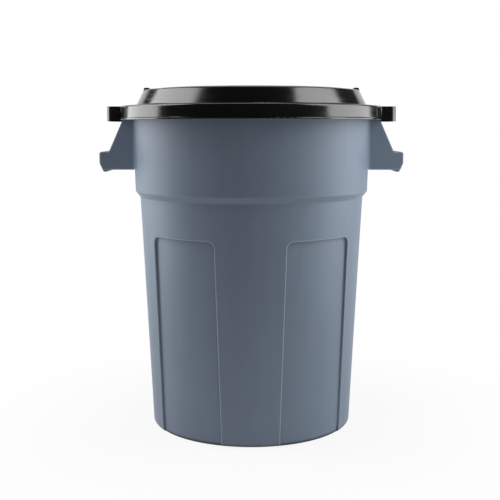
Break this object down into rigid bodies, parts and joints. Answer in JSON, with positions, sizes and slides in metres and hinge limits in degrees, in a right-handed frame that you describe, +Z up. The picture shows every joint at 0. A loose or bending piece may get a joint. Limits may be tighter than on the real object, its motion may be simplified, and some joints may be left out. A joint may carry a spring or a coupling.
{
  "type": "trash can",
  "caption": "Round tapered plastic trash can with recessed side panels, a stepped collar and moulded end handles, closed by a glossy lift-off lid with a raised drum and pull tabs.",
  "frame": {"origin": "centre of the circle that the can stands on", "axes": "+Z up through the lid, -Y towards the front between two panels, X through the two handles"},
  "size_m": [0.646, 0.5688, 0.734],
  "materials": {
    "can_plastic": "slate blue-grey polyethylene, satin, with a fine even moulded grain",
    "lid_plastic": "black polypropylene, polished"
  },
  "bodies": {
    "can_body": {"can": "can_plastic"},
    "lid_body": {"lid": "lid_plastic"}
  },
  "joints": [
    {"name": "lid_lift", "type": "slide", "parent": "can_body", "child": "lid_body", "axis": [0, 0, 1], "range_m": [0, 0.12]}
  ]
}
